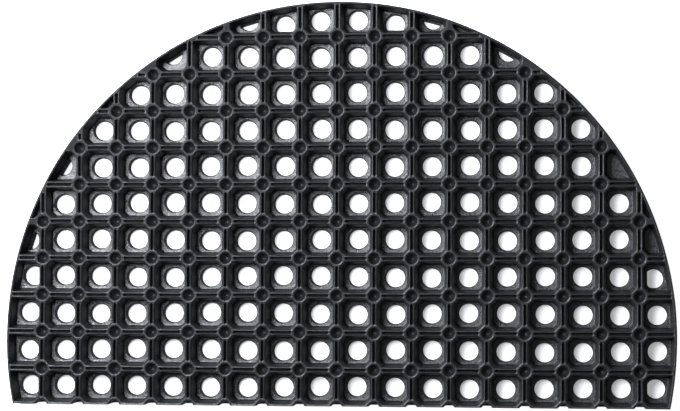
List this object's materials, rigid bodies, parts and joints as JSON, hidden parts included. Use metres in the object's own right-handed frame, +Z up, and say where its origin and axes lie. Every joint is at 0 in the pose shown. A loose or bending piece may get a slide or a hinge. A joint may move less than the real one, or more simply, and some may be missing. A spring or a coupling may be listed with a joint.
{
  "type": "rubber ring doormat",
  "caption": "Half-round moulded rubber doormat: a lattice of twin ribs makes deep pockets over round drain holes, with a blind cup at each crossing.",
  "frame": {"origin": "on the floor, under the middle of the mat's box", "axes": "+Z up, +X along the straight edge, +Y from the straight edge towards the top of the arc"},
  "size_m": [0.75, 0.45, 0.022],
  "materials": {
    "rubber": "black moulded rubber, dull satin, a little dusty on top"
  },
  "bodies": {
    "root": {"mat": "rubber"}
  },
  "joints": []
}
